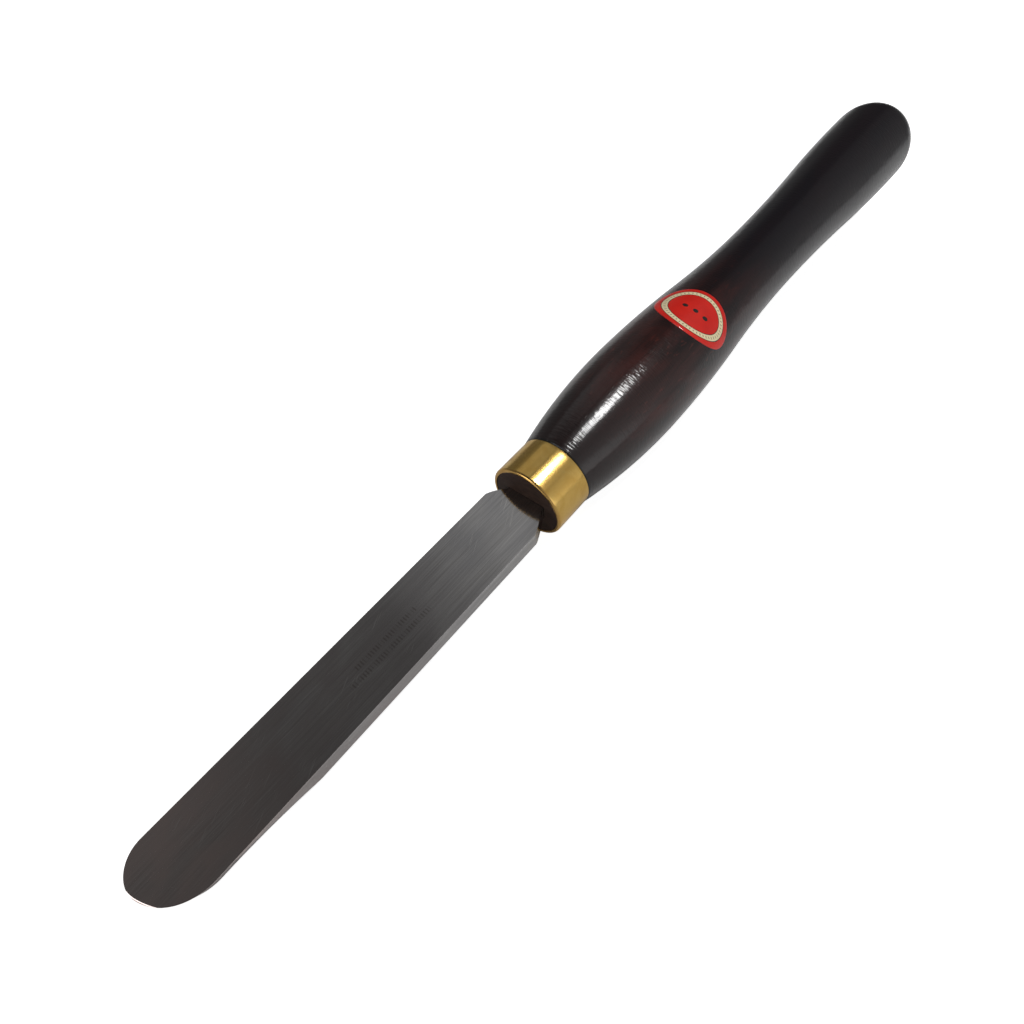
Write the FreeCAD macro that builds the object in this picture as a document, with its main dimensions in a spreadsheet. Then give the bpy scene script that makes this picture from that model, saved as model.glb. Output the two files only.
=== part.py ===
import FreeCAD, Part

import math
import os

import Sketcher
from FreeCAD import Placement, Rotation, Vector

# A one-inch domed side-cutting scraper for wood turning, in millimetres and degrees.
# +X runs along the tool towards the cutting nose, +Z is the normal of the blade's flat top and
# +Y is the side with the long ground edge. The origin is the middle of the ferrule, on the axis.

SIZES = {
    # blade: a flat bar whose inner end is cut down to a tang
    "blade_width": 25.4,
    "blade_thickness": 6.0,
    "blade_length": 160.7,  # from the ferrule's front face to the nose's tip
    "arris_chamfer": 0.4,  # on the two lower long edges
    # plan of the nose: a tight arc from the plain side, then a wide arc into the ground side
    "tight_nose_radius": 9.75,
    "wide_nose_radius": 17.7,
    # bevel under the nose and along the +Y edge; the wheel's sweep makes it fade out
    "bevel_angle": 20.0,
    "ground_side_sweep": 280.0,
    "plain_side_sweep": 60.0,
    # small flat honed on top of the cutting edge
    "facet_width": 0.9,
    "facet_slope": 30.0,
    "facet_turn": 12.3,
    # shoulders and tang, measured from the ferrule's front face
    "tang_length": 65.0,
    "tang_root_width": 15.6,
    "tang_end_width": 9.0,
    "tang_end_thickness": 4.0,
    "tang_root_at": 0.8,
    "ground_shoulder_end": 10.5,
    "ground_shoulder_radius": 60.0,
    "plain_shoulder_end": 7.0,
    "plain_shoulder_radius": 15.0,
    # ferrule: a length of brass tube
    "ferrule_length": 17.0,
    "ferrule_diameter": 30.0,
    "ferrule_wall": 1.4,
    "ferrule_front_rounding": 1.0,
    "ferrule_rear_rounding": 0.25,
    # handle: a turned grip, its stations measured back from the ferrule's rear face
    "grip_length": 283.0,
    "shoulder_proud": 0.1,  # how far the wood stands out beyond the ferrule
    "shoulder_rounding": 0.3,
    "bulge_at": 52.0,
    "bulge_diameter": 41.2,
    "bulge_share": 0.49,  # share of the fall to the waist that still curves like the bulge
    "waist_at": 150.0,
    "waist_diameter": 32.2,
    "waist_share": 0.52,  # share of the rise to the butt that still curves like the waist
    "butt_diameter": 40.0,  # widest just where the half-round end begins
    "end_grain_recess": 0.2,  # spigot's end behind the ferrule's front face
    "socket_floor_gap": 2.0,  # left beyond the tang's end
    # label: a thin oval sticker wrapped round the rear slope of the bulge
    "label_at": 82.9,
    "label_height": 24.7,
    "label_span": 31.3,  # straight distance between its two ends
    "label_turn": 17.3,  # how far round from the top it is centred, towards +Y
    "label_film": 0.12,
    # fits
    "ferrule_fit_gap": 0.02,
    "tang_fit_gap": 0.1,
}

# How far a cutting shape stands past the metal it cuts away.
OVERRUN = 2.0

doc = FreeCAD.newDocument("side_scraper")
sheet = doc.addObject("Spreadsheet::Sheet", "Sizes")
for row, (alias, value) in enumerate(SIZES.items(), start=1):
    sheet.set(f"A{row}", alias)
    sheet.set(f"B{row}", str(value))
    sheet.setAlias(f"B{row}", alias)
doc.recompute()

START, END, CENTRE = 1, 2, 3
ORIGIN = (-1, 1)
SKETCH_X_AXIS = -1
X_AXIS, Y_AXIS, Z_AXIS = Vector(1, 0, 0), Vector(0, 1, 0), Vector(0, 0, 1)


def size(name):
    """The value of one cell of the sheet."""
    return float(sheet.get(name))


def tie(target, path, words):
    """Bind a property to an expression in which the sheet's names stand in <angle brackets>."""
    target.setExpression(path, words.replace("<", "Sizes.").replace(">", ""))


def new_body(name):
    """An empty body whose Label names its piece."""
    body = doc.addObject("PartDesign::Body", name)
    body.Label = name
    return body


def origin_feature(body, role):
    """One of a body's own origin planes or axes."""
    return next(item for item in body.Origin.OriginFeatures if item.Role == role)


class Outline:
    """A sketch drawn as closed chains of lines and arcs, with its sizes tied to the sheet."""

    def __init__(self, name, body=None, role="XY_Plane"):
        if body is None:
            self.sketch = doc.addObject("Sketcher::SketchObject", name)
        else:
            self.sketch = body.newObject("Sketcher::SketchObject", name)
            self.sketch.AttachmentSupport = [(origin_feature(body, role), "")]
            self.sketch.MapMode = "FlatFace"
        self.ends = []

    def line(self, start, end):
        """Add a straight edge and return its index."""
        segment = Part.LineSegment(Vector(*start, 0), Vector(*end, 0))
        self.ends.append((START, END))
        return self.sketch.addGeometry(segment, False)

    def arc(self, centre, start, end, clockwise=False):
        """Add an arc walked from start to end about a centre, and return its index."""
        first, last = (end, start) if clockwise else (start, end)
        angles = [math.atan2(p[1] - centre[1], p[0] - centre[0]) for p in (first, last)]
        circle = Part.Circle(Vector(*centre, 0), Vector(0, 0, 1), math.dist(centre, start))
        self.ends.append((END, START) if clockwise else (START, END))
        return self.sketch.addGeometry(Part.ArcOfCircle(circle, *angles), False)

    def start_of(self, edge):
        """The address of the point where an edge begins."""
        return edge, self.ends[edge][0]

    def end_of(self, edge):
        """The address of the point where an edge finishes."""
        return edge, self.ends[edge][1]

    def rule(self, kind, *addresses):
        """Add a constraint that holds no size."""
        self.sketch.addConstraint(Sketcher.Constraint(kind, *addresses))

    def chain(self, edges, smooth=()):
        """Join each edge to the next and close the loop; the smooth ones run on without a corner."""
        for edge, following in zip(edges, edges[1:] + edges[:1]):
            kind = "Tangent" if edge in smooth else "Coincident"
            self.rule(kind, *self.end_of(edge), *self.start_of(following))

    def pin(self, point, **places):
        """Hold a point at x and y: each an expression, or one after a minus sign."""
        spot = self.sketch.getPoint(*point)
        for axis, words in places.items():
            kind = {"x": "DistanceX", "y": "DistanceY"}[axis]
            pair = (*point, *ORIGIN) if words.startswith("-") else (*ORIGIN, *point)
            value = abs(getattr(spot, axis))
            index = self.sketch.addConstraint(Sketcher.Constraint(kind, *pair, value))
            tie(self.sketch, f"Constraints[{index}]", words.lstrip("-"))

    def radius(self, edge, words):
        """Hold an arc's radius."""
        value = self.sketch.Geometry[edge].Radius
        index = self.sketch.addConstraint(Sketcher.Constraint("Radius", edge, value))
        tie(self.sketch, f"Constraints[{index}]", words)

    def level_at(self, edge, point):
        """Make an arc run level at one of its ends."""
        self.rule("Vertical", edge, CENTRE, *point)


def mirrored(point, side):
    """A plan point, on the +Y side for side 1 or its mirror image for side -1."""
    return point[0], point[1] * side


def arc_centre(start, end, radius):
    """Centre of the clockwise arc of a given radius between two points."""
    middle = Vector((start[0] + end[0]) / 2, (start[1] + end[1]) / 2, 0)
    chord = Vector(end[0] - start[0], end[1] - start[1], 0)
    across = Vector(chord.y, -chord.x, 0).normalize()
    centre = middle + across * math.sqrt(radius**2 - (chord.Length / 2) ** 2)
    return centre.x, centre.y


# ---------------------------------------------------------------- blade


def add_bar_section(body):
    """Cross-section of the bar: sharp on top, chamfered on its two lower edges."""
    half = size("blade_width") / 2
    top = size("blade_thickness") / 2
    chamfer = size("arris_chamfer")
    corners = [
        (half, top),
        (-half, top),
        (-half, chamfer - top),
        (chamfer - half, -top),
        (half - chamfer, -top),
        (half, chamfer - top),
    ]
    outline = Outline("bar_section", body, "YZ_Plane")
    edges = [outline.line(a, b) for a, b in zip(corners, corners[1:] + corners[:1])]
    outline.chain(edges)
    half_width = "<blade_width> / 2"
    half_thickness = "<blade_thickness> / 2"
    outline.pin(outline.start_of(0), x=half_width, y=half_thickness)
    outline.pin(outline.start_of(1), x="-" + half_width, y=half_thickness)
    outline.pin(outline.start_of(2), x="-" + half_width, y=f"-({half_thickness} - <arris_chamfer>)")
    outline.pin(outline.start_of(3), x=f"-({half_width} - <arris_chamfer>)", y="-" + half_thickness)
    outline.pin(outline.start_of(4), x=f"{half_width} - <arris_chamfer>", y="-" + half_thickness)
    outline.pin(outline.start_of(5), x=half_width, y=f"-({half_thickness} - <arris_chamfer>)")
    return outline.sketch


def add_shoulder_cuts(body):
    """Plan of the metal removed on both sides of the tang, with its two rounded shoulders."""
    outline = Outline("shoulder_cuts", body, "XY_Plane")
    half_width = "<blade_width> / 2"
    for side, name in ((1, "ground"), (-1, "plain")):
        sign = "" if side > 0 else "-"
        tang_end = mirrored((-size("tang_length"), size("tang_end_width") / 2), side)
        root = mirrored((size("tang_root_at"), size("tang_root_width") / 2), side)
        corner = mirrored((size(f"{name}_shoulder_end"), size("blade_width") / 2), side)
        clear_front = mirrored((corner[0], size("blade_width")), side)
        clear_back = mirrored((tang_end[0], size("blade_width")), side)
        centre = arc_centre(mirrored(root, side), mirrored(corner, side), size(f"{name}_shoulder_radius"))
        edges = [
            outline.line(tang_end, root),
            outline.arc(mirrored(centre, side), root, corner, clockwise=side > 0),
            outline.line(corner, clear_front),
            outline.line(clear_front, clear_back),
            outline.line(clear_back, tang_end),
        ]
        outline.chain(edges)
        taper, shoulder, front, outside, back = edges
        outline.pin(outline.start_of(taper), x="-<tang_length>", y=f"{sign}<tang_end_width> / 2")
        outline.pin(outline.start_of(shoulder), x="<tang_root_at>", y=f"{sign}<tang_root_width> / 2")
        outline.pin(outline.end_of(shoulder), x=f"<{name}_shoulder_end>", y=sign + half_width)
        outline.radius(shoulder, f"<{name}_shoulder_radius>")
        outline.rule("Vertical", front)
        outline.rule("Horizontal", outside)
        outline.rule("Vertical", back)
        outline.pin(outline.start_of(outside), y=f"{sign}<blade_width>")
    return outline.sketch


def add_tang_taper_cuts(body):
    """Side view of the metal removed above and below the tang, which thins towards its end."""
    outline = Outline("tang_taper", body, "XZ_Plane")
    for side in (1, -1):
        sign = "" if side > 0 else "-"
        root = mirrored((size("tang_root_at"), size("blade_thickness") / 2), side)
        tang_end = mirrored((-size("tang_length"), size("tang_end_thickness") / 2), side)
        clear_back = mirrored((tang_end[0], size("blade_thickness")), side)
        clear_front = mirrored((root[0], size("blade_thickness")), side)
        edges = [
            outline.line(root, tang_end),
            outline.line(tang_end, clear_back),
            outline.line(clear_back, clear_front),
            outline.line(clear_front, root),
        ]
        outline.chain(edges)
        taper, back, outside, front = edges
        outline.pin(outline.start_of(taper), x="<tang_root_at>", y=f"{sign}<blade_thickness> / 2")
        outline.pin(outline.end_of(taper), x="-<tang_length>", y=f"{sign}<tang_end_thickness> / 2")
        outline.rule("Vertical", back)
        outline.rule("Horizontal", outside)
        outline.rule("Vertical", front)
        outline.pin(outline.start_of(outside), y=f"{sign}<blade_thickness>")
    return outline.sketch


def cut_through(body, name, profile):
    """Cut a profile right through a body on both sides of its plane."""
    cuts = body.newObject("PartDesign::Pocket", name)
    cuts.Profile = profile
    cuts.SideType = "Symmetric"
    cuts.Type = "ThroughAll"
    doc.recompute()


def build_bar():
    """The flat bar with its shoulders and tang, before the nose is ground."""
    body = new_body("blade_bar")
    bar = body.newObject("PartDesign::Pad", "bar")
    bar.Profile = add_bar_section(body)
    bar.SideType = "Two sides"
    tie(bar, "Length", "<blade_length>")
    tie(bar, "Length2", "<tang_length>")
    doc.recompute()
    cut_through(body, "shoulders", add_shoulder_cuts(body))
    cut_through(body, "tang_taper_cuts", add_tang_taper_cuts(body))
    tie(body, "Placement.Base.x", "<ferrule_length> / 2")
    return body


def draw_nose_outline():
    """Plan of the ground nose at the top face; behind it the wheel's path leaves the bar."""
    half = size("blade_width") / 2
    tight = size("tight_nose_radius")
    wide = size("wide_nose_radius")
    set_back = size("blade_thickness") * math.tan(math.radians(size("bevel_angle")))
    clear = half + set_back + OVERRUN
    tight_centre = (size("blade_length") - tight, tight - half)
    rise = (half - wide) - tight_centre[1]
    wide_centre = (tight_centre[0] - math.sqrt((wide - tight) ** 2 - rise**2), half - wide)
    lean = math.atan2(-rise, tight_centre[0] - wide_centre[0])
    join = (wide_centre[0] + wide * math.cos(lean), wide_centre[1] + wide * math.sin(lean))
    plain_start = (tight_centre[0], -half)
    ground_start = (wide_centre[0], half)

    def sweep_end(start, radius, side):
        """Where a sweep that leaves the bar's side gets clear of it."""
        out = clear - half
        return start[0] - math.sqrt(radius**2 - (radius - out) ** 2), side * clear

    plain_radius = size("plain_side_sweep")
    ground_radius = size("ground_side_sweep")
    plain_end = sweep_end(plain_start, plain_radius, -1)
    ground_end = sweep_end(ground_start, ground_radius, 1)
    back = -size("tang_length") - set_back - OVERRUN
    outline = Outline("nose_outline")
    edges = [
        outline.arc(tight_centre, plain_start, join),
        outline.arc(wide_centre, join, ground_start),
        outline.arc((ground_start[0], half + ground_radius), ground_start, ground_end, clockwise=True),
        outline.line(ground_end, (back, clear)),
        outline.line((back, clear), (back, -clear)),
        outline.line((back, -clear), plain_end),
        outline.arc((plain_start[0], -half - plain_radius), plain_end, plain_start, clockwise=True),
    ]
    tight_arc, wide_arc, ground_sweep, ground_line, back_line, plain_line, plain_sweep = edges
    outline.chain(edges, smooth=(tight_arc, wide_arc, plain_sweep))
    outline.radius(tight_arc, "<tight_nose_radius>")
    outline.radius(wide_arc, "<wide_nose_radius>")
    outline.radius(ground_sweep, "<ground_side_sweep>")
    outline.radius(plain_sweep, "<plain_side_sweep>")
    outline.level_at(tight_arc, outline.start_of(tight_arc))
    outline.level_at(wide_arc, outline.end_of(wide_arc))
    outline.pin((tight_arc, CENTRE), x="<blade_length> - <tight_nose_radius>")
    outline.pin(outline.start_of(tight_arc), y="-<blade_width> / 2")
    outline.pin(outline.end_of(wide_arc), y="<blade_width> / 2")
    past = f"<blade_thickness> * tan(<bevel_angle>) + {OVERRUN}"
    reach = f"(<blade_width> / 2 + {past})"
    outline.pin(outline.end_of(ground_sweep), y=reach)
    outline.pin(outline.start_of(plain_sweep), y="-" + reach)
    outline.rule("Horizontal", ground_line)
    outline.rule("Vertical", back_line)
    outline.rule("Horizontal", plain_line)
    outline.pin(outline.start_of(back_line), x=f"-(<tang_length> + {past})")
    tie(outline.sketch, "Placement.Base.z", "<blade_thickness> / 2")
    return outline.sketch


def build_nose_envelope():
    """Everything inside the grinding wheel's path, narrowing downwards by the bevel angle."""
    envelope = doc.addObject("Part::Extrusion", "nose_envelope")
    envelope.Base = draw_nose_outline()
    envelope.DirMode = "Custom"
    envelope.Dir = -Z_AXIS
    envelope.Solid = True
    tie(envelope, "LengthFwd", "<blade_thickness>")
    tie(envelope, "TaperAngle", "-<bevel_angle>")
    tie(envelope, "Placement.Base.x", "<ferrule_length> / 2")
    return envelope


def build_facet_cut():
    """A block whose sloping underside leaves the small honed facet on the nose."""
    block = doc.addObject("Part::Box", "facet_cut")
    tie(block, "Length", "<blade_thickness>")
    tie(block, "Width", "<blade_width>")
    tie(block, "Height", "<blade_thickness>")
    turn = Rotation(Z_AXIS, size("facet_turn")) * Rotation(Y_AXIS, size("facet_slope"))
    block.Placement = Placement(Vector(0, 0, 0), turn)
    centre_x = "<ferrule_length> / 2 + <blade_length> - <tight_nose_radius>"
    centre_y = "<tight_nose_radius> - <blade_width> / 2"
    ahead = "(<tight_nose_radius> - <facet_width>)"
    aside = "<blade_width> / 2"
    along, across = "cos(<facet_turn>)", "sin(<facet_turn>)"
    tie(block, "Placement.Base.x", f"{centre_x} + {ahead} * {along} + {aside} * {across}")
    tie(block, "Placement.Base.y", f"{centre_y} + {ahead} * {across} - {aside} * {along}")
    tie(block, "Placement.Base.z", "<blade_thickness> / 2")
    return block


def build_blade():
    """The finished blade: bar, shoulders, tang, ground nose and honed facet in one piece of steel."""
    ground = doc.addObject("Part::Common", "blade_ground")
    ground.Base = build_bar()
    ground.Tool = build_nose_envelope()
    blade = doc.addObject("Part::Cut", "blade")
    blade.Base = ground
    blade.Tool = build_facet_cut()
    return blade


# ---------------------------------------------------------------- ferrule


def rim_edges(shape, radius, place):
    """Names of a shape's whole circular edges of one radius at one station along X."""
    names = []
    for number, edge in enumerate(shape.Edges, start=1):
        if edge.Degenerated or not isinstance(edge.Curve, Part.Circle):
            continue
        same_radius = abs(edge.Curve.Radius - radius) < 1e-6
        if same_radius and abs(edge.Curve.Center.x - place) < 1e-6:
            names.append(f"Edge{number}")
    return names


def build_ferrule():
    """A brass tube, its front rim well rounded and its rear rim just broken."""
    body = new_body("ferrule")
    outer = size("ferrule_diameter") / 2
    inner = outer - size("ferrule_wall")
    half = size("ferrule_length") / 2
    corners = [(-half, inner), (half, inner), (half, outer), (-half, outer)]
    outline = Outline("tube_wall", body, "XZ_Plane")
    edges = [outline.line(a, b) for a, b in zip(corners, corners[1:] + corners[:1])]
    outline.chain(edges)
    bore, front, outside, rear = edges
    outline.rule("Horizontal", bore)
    outline.rule("Vertical", front)
    outline.rule("Horizontal", outside)
    outline.rule("Vertical", rear)
    half_length = "<ferrule_length> / 2"
    outer_radius = "<ferrule_diameter> / 2"
    outline.pin(outline.start_of(bore), x="-" + half_length, y=f"{outer_radius} - <ferrule_wall>")
    outline.pin(outline.start_of(outside), x=half_length, y=outer_radius)
    tube = body.newObject("PartDesign::Revolution", "tube")
    tube.Profile = outline.sketch
    tube.ReferenceAxis = (origin_feature(body, "X_Axis"), [""])
    doc.recompute()
    for name, station in (("front", half), ("rear", -half)):
        base = body.Tip
        rounding = body.newObject("PartDesign::Fillet", f"{name}_rounding")
        rounding.Base = (base, rim_edges(base.Shape, outer, station))
        tie(rounding, "Radius", f"<ferrule_{name}_rounding>")
        doc.recompute()
    return body


# ---------------------------------------------------------------- handle


def shoulder_radius():
    """Radius of the wood just behind the ferrule."""
    return size("ferrule_diameter") / 2 + size("shoulder_proud")


def draw_grip(name, body, film=""):
    """Half-section of the turned grip, standing off by a film's thickness where one is named."""
    off = size(film) if film else 0.0
    plus = f" + <{film}>" if film else ""
    minus = f" - <{film}>" if film else ""
    bulge = (size("bulge_at"), size("bulge_diameter") / 2)
    waist = (size("waist_at"), size("waist_diameter") / 2)
    butt = (size("grip_length") - size("butt_diameter") / 2, size("butt_diameter") / 2)
    shoulder = shoulder_radius()

    def sweep_radius(run, rise):
        """Radius of an arc, level at one end, that covers a run and a rise."""
        return (run**2 + rise**2) / (2 * abs(rise))

    def turnover(first, second, share):
        """Where the curve between two level points changes from one arc to the other."""
        return first[0] + share * (second[0] - first[0]), first[1] + share * (second[1] - first[1])

    def spot(point, centre, outward):
        """A point of the grip, mirrored to run back along -X and moved out by the film."""
        gap = math.dist(point, centre)
        step = off * outward / gap
        x = point[0] + (point[0] - centre[0]) * step
        return -x, point[1] + (point[1] - centre[1]) * step

    rise_radius = sweep_radius(bulge[0], bulge[1] - shoulder)
    fall = sweep_radius(waist[0] - bulge[0], bulge[1] - waist[1])
    climb = sweep_radius(butt[0] - waist[0], butt[1] - waist[1])
    bulge_radius = size("bulge_share") * fall
    waist_front = fall - bulge_radius
    waist_rear = size("waist_share") * climb
    butt_front = climb - waist_rear

    rise_centre = (bulge[0], bulge[1] - rise_radius)
    bulge_centre = (bulge[0], bulge[1] - bulge_radius)
    waist_front_centre = (waist[0], waist[1] + waist_front)
    waist_rear_centre = (waist[0], waist[1] + waist_rear)
    butt_front_centre = (butt[0], butt[1] - butt_front)
    dome_centre = (butt[0], 0.0)
    first_turn = turnover(bulge, waist, size("bulge_share"))
    second_turn = turnover(waist, butt, size("waist_share"))
    start_height = rise_centre[1] + math.sqrt((rise_radius + off) ** 2 - bulge[0] ** 2)

    front = (0.0, start_height)
    bulge_top = spot(bulge, bulge_centre, 1)
    fall_turn = spot(first_turn, bulge_centre, 1)
    waist_low = spot(waist, waist_front_centre, -1)
    climb_turn = spot(second_turn, waist_rear_centre, -1)
    butt_top = spot(butt, dome_centre, 1)
    tip = (-size("grip_length") - off, 0.0)

    def back(centre):
        """A centre, mirrored to run back along -X."""
        return -centre[0], centre[1]

    outline = Outline(name, body, "XZ_Plane")
    edges = [
        outline.line((0.0, 0.0), front),
        outline.arc(back(rise_centre), front, bulge_top),
        outline.arc(back(bulge_centre), bulge_top, fall_turn),
        outline.arc(back(waist_front_centre), fall_turn, waist_low, clockwise=True),
        outline.arc(back(waist_rear_centre), waist_low, climb_turn, clockwise=True),
        outline.arc(back(butt_front_centre), climb_turn, butt_top),
        outline.arc(back(dome_centre), butt_top, tip),
        outline.line(tip, (0.0, 0.0)),
    ]
    face, rise_arc, bulge_arc, waist_in, waist_out, butt_arc, dome_arc, axis = edges
    outline.chain(edges, smooth=(rise_arc, bulge_arc, waist_in, waist_out, butt_arc))
    outline.rule("Coincident", *outline.start_of(face), *ORIGIN)
    outline.rule("Vertical", face)
    outline.pin(outline.end_of(rise_arc), x="-<bulge_at>", y=f"<bulge_diameter> / 2{plus}")
    outline.level_at(rise_arc, outline.end_of(rise_arc))
    step_up = "((<bulge_diameter> - <ferrule_diameter>) / 2 - <shoulder_proud>)"
    outline.radius(rise_arc, f"(<bulge_at> ^ 2 + {step_up} ^ 2) / (2 * {step_up}){plus}")
    drop = "((<bulge_diameter> - <waist_diameter>) / 2)"
    run = "(<waist_at> - <bulge_at>)"
    outline.radius(bulge_arc, f"<bulge_share> * ({run} ^ 2 + {drop} ^ 2) / (2 * {drop}){plus}")
    outline.pin(outline.end_of(waist_in), x="-<waist_at>", y=f"<waist_diameter> / 2{plus}")
    outline.level_at(waist_in, outline.end_of(waist_in))
    drop = "((<butt_diameter> - <waist_diameter>) / 2)"
    butt_words = "(<grip_length> - <butt_diameter> / 2)"
    run = f"({butt_words} - <waist_at>)"
    outline.radius(waist_out, f"<waist_share> * ({run} ^ 2 + {drop} ^ 2) / (2 * {drop}){minus}")
    outline.pin(outline.end_of(butt_arc), x="-" + butt_words, y=f"<butt_diameter> / 2{plus}")
    outline.level_at(butt_arc, outline.end_of(butt_arc))
    outline.rule("PointOnObject", dome_arc, CENTRE, SKETCH_X_AXIS)
    outline.rule("PointOnObject", *outline.end_of(dome_arc), SKETCH_X_AXIS)
    return outline.sketch


def revolve_about_x(body, name, profile):
    """Turn a half-section about the tool's axis."""
    turned = body.newObject("PartDesign::Revolution", name)
    turned.Profile = profile
    turned.ReferenceAxis = (origin_feature(body, "X_Axis"), [""])
    doc.recompute()
    return turned


def add_spigot(body):
    """The turned-down end that the ferrule is driven on to."""
    outline = Outline("spigot_end", body, "YZ_Plane")
    radius = size("ferrule_diameter") / 2 - size("ferrule_wall") - size("ferrule_fit_gap")
    circle = Part.Circle(Vector(0, 0, 0), Vector(0, 0, 1), radius)
    outline.sketch.addGeometry(circle, False)
    outline.rule("Coincident", 0, CENTRE, *ORIGIN)
    outline.radius(0, "<ferrule_diameter> / 2 - <ferrule_wall> - <ferrule_fit_gap>")
    spigot = body.newObject("PartDesign::Pad", "spigot")
    spigot.Profile = outline.sketch
    tie(spigot, "Length", "<ferrule_length> - <end_grain_recess>")
    doc.recompute()


def add_socket_section(body, name, station, width, thickness):
    """Rectangular cross-section of the tang socket at one station along X."""
    outline = Outline(name, body, "YZ_Plane")
    tie(outline.sketch, "AttachmentOffset.Base.z", station)
    half_width = size(width) / 2 + size("tang_fit_gap")
    half_height = size(thickness) / 2 + size("tang_fit_gap")
    corners = [
        (half_width, half_height),
        (-half_width, half_height),
        (-half_width, -half_height),
        (half_width, -half_height),
    ]
    edges = [outline.line(a, b) for a, b in zip(corners, corners[1:] + corners[:1])]
    outline.chain(edges)
    for edge, kind in zip(edges, ("Horizontal", "Vertical", "Horizontal", "Vertical")):
        outline.rule(kind, edge)
    half_width_words = f"(<{width}> / 2 + <tang_fit_gap>)"
    half_height_words = f"(<{thickness}> / 2 + <tang_fit_gap>)"
    outline.pin(outline.start_of(0), x=half_width_words, y=half_height_words)
    outline.pin(outline.start_of(2), x="-" + half_width_words, y="-" + half_height_words)
    return outline.sketch


def add_socket(body):
    """The tapered hole that holds the tang, a little wider and deeper than the tang itself."""
    mouth = "<ferrule_length> + <tang_root_at>"
    floor = "<ferrule_length> - <tang_length> - <socket_floor_gap>"
    mouth_section = add_socket_section(body, "socket_mouth", mouth, "tang_root_width", "blade_thickness")
    floor_section = add_socket_section(body, "socket_floor", floor, "tang_end_width", "tang_end_thickness")
    socket = body.newObject("PartDesign::SubtractiveLoft", "tang_socket")
    socket.Profile = mouth_section
    socket.Sections = [floor_section]
    socket.Ruled = True
    doc.recompute()


def build_handle():
    """The turned hardwood handle with its spigot, rounded shoulder and tang socket."""
    body = new_body("handle")
    revolve_about_x(body, "grip", draw_grip("grip_section", body))
    base = body.Tip
    rounding = body.newObject("PartDesign::Fillet", "shoulder_rounding")
    rounding.Base = (base, rim_edges(base.Shape, shoulder_radius(), 0.0))
    tie(rounding, "Radius", "<shoulder_rounding>")
    doc.recompute()
    add_spigot(body)
    add_socket(body)
    tie(body, "Placement.Base.x", "-<ferrule_length> / 2")
    return body


# ---------------------------------------------------------------- label


def build_label(handle):
    """An oval of thin film that lies on the grip all over."""
    skin = new_body("label_skin")
    revolve_about_x(skin, "coat", draw_grip("coat_section", skin, film="label_film"))
    tie(skin, "Placement.Base.x", "-<ferrule_length> / 2")
    oval = doc.addObject("Part::Ellipse", "label_oval")
    tie(oval, "MajorRadius", "<label_span> / 2")
    tie(oval, "MinorRadius", "<label_height> / 2")
    oval.Placement = Placement(Vector(0, 0, 0), Rotation(Z_AXIS, 90))
    cutter = doc.addObject("Part::Extrusion", "label_cutter")
    cutter.Base = oval
    cutter.DirMode = "Custom"
    cutter.Dir = Z_AXIS
    cutter.Solid = True
    tie(cutter, "LengthFwd", "<bulge_diameter>")
    cutter.Placement = Placement(Vector(0, 0, 0), Rotation(X_AXIS, -size("label_turn")))
    tie(cutter, "Placement.Base.x", "-(<ferrule_length> / 2 + <label_at>)")
    patch = doc.addObject("Part::Common", "label_patch")
    patch.Base = skin
    patch.Tool = cutter
    label = doc.addObject("Part::Cut", "label")
    label.Base = patch
    label.Tool = handle
    return label


def check(pieces):
    """Stop with a plain message if any object failed or any piece isn't one sound solid."""
    doc.recompute()
    for item in doc.Objects:
        faults = {"Invalid", "Error"} & set(item.State)
        if faults:
            raise SystemExit(f"{item.Name} is {', '.join(sorted(faults))}")
    for piece in pieces:
        shape = piece.Shape
        if shape.isNull() or not shape.isValid() or len(shape.Solids) != 1:
            raise SystemExit(f"{piece.Label} isn't one sound solid")


def main():
    """Build every piece and write one STEP file for each."""
    handle = build_handle()
    pieces = [build_blade(), build_ferrule(), handle, build_label(handle)]
    check(pieces)
    os.makedirs("parts", exist_ok=True)
    for piece in pieces:
        piece.Shape.exportStep(os.path.join("parts", f"{piece.Label}.step"))
        print(f"{piece.Label}: {piece.Shape.Volume:.0f} cubic millimetres")


main()
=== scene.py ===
import math

import bmesh
import bpy
from mathutils import Matrix, Quaternion, Vector


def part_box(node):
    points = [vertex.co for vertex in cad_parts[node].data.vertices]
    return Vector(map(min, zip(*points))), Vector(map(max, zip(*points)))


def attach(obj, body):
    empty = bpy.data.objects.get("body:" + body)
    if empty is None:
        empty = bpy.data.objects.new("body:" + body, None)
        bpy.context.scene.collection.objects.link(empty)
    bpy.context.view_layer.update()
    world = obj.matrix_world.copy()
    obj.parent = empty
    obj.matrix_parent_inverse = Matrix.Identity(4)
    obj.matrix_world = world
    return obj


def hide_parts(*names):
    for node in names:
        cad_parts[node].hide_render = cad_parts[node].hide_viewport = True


# A domed side-cutting scraper for wood turning: steel blade, brass ferrule, turned and lacquered
# handle, printed label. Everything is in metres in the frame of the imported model: +X runs along
# the tool towards the nose, +Z is the blade's flat top, +Y the side with the long ground edge.

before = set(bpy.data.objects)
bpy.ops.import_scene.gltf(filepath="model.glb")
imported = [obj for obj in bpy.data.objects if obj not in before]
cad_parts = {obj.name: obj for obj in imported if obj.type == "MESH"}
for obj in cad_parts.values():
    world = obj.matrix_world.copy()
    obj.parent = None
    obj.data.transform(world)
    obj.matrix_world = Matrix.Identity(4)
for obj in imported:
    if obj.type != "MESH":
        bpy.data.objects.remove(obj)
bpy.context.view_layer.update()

MM = 0.001
BODY = "root"

# ---------------------------------------------------------------- places, from the frame

blade_low, blade_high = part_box("blade")
ferrule_low, ferrule_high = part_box("ferrule")
handle_low, handle_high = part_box("handle")
label_low, label_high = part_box("label")

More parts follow.
